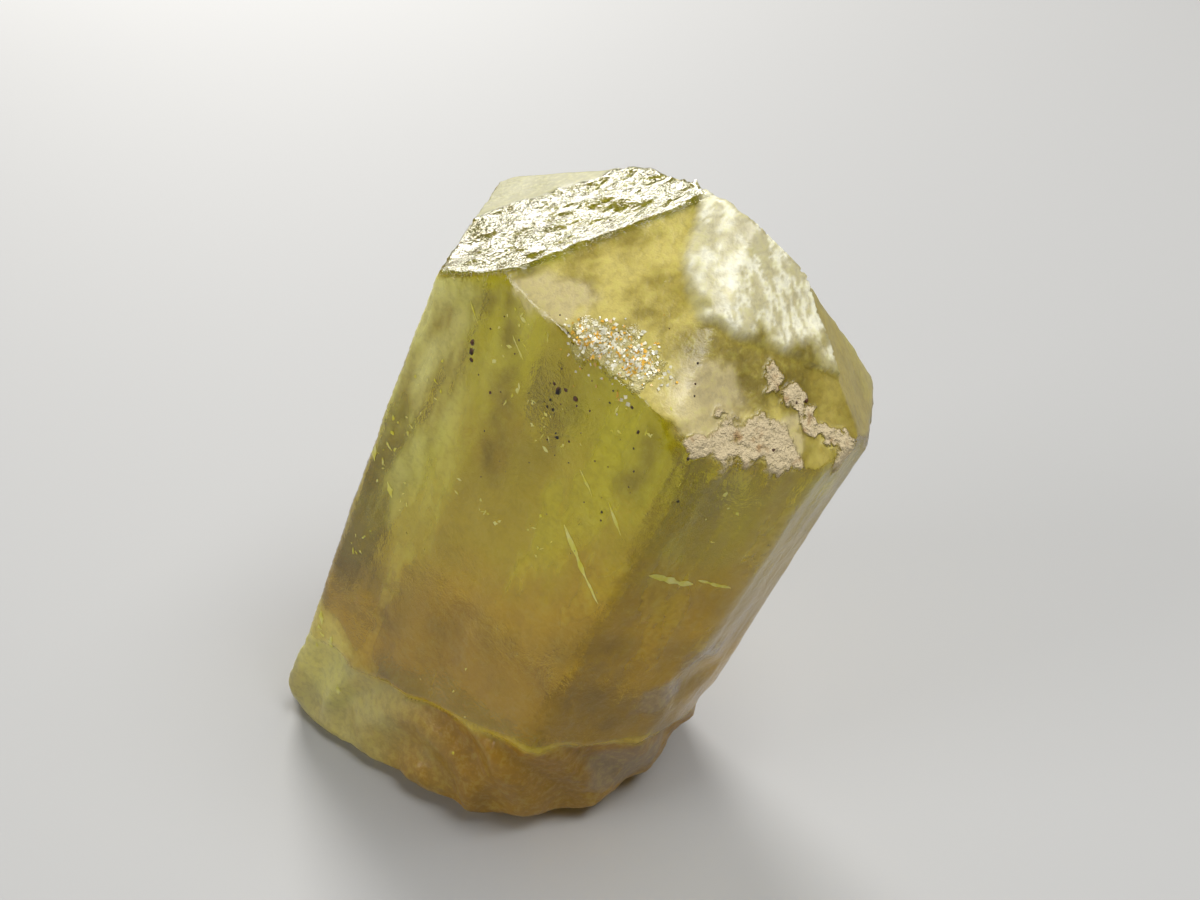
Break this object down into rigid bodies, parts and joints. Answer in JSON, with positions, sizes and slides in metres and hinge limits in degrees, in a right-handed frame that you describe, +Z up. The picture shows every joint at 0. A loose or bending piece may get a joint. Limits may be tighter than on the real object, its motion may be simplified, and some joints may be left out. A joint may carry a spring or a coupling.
{
  "type": "apatite crystal",
  "caption": "Stubby six-sided golden green apatite crystal with a low pyramid top, clouded and etched, leaning on its broken foot.",
  "frame": {"origin": "on the surface it rests on, under the middle of the crystal's bounding box", "axes": "+Z up as the crystal stands on its broken foot, -Y towards the viewer of the picture, +X to the viewer's right, the side the pyramid leans to"},
  "size_m": [0.02, 0.0162, 0.0211],
  "materials": {
    "apatite": "golden green translucent crystal, clouded inside, with satin worn faces and a glossy etched top"
  },
  "bodies": {
    "root": {"apatite_crystal": "apatite"}
  },
  "joints": []
}
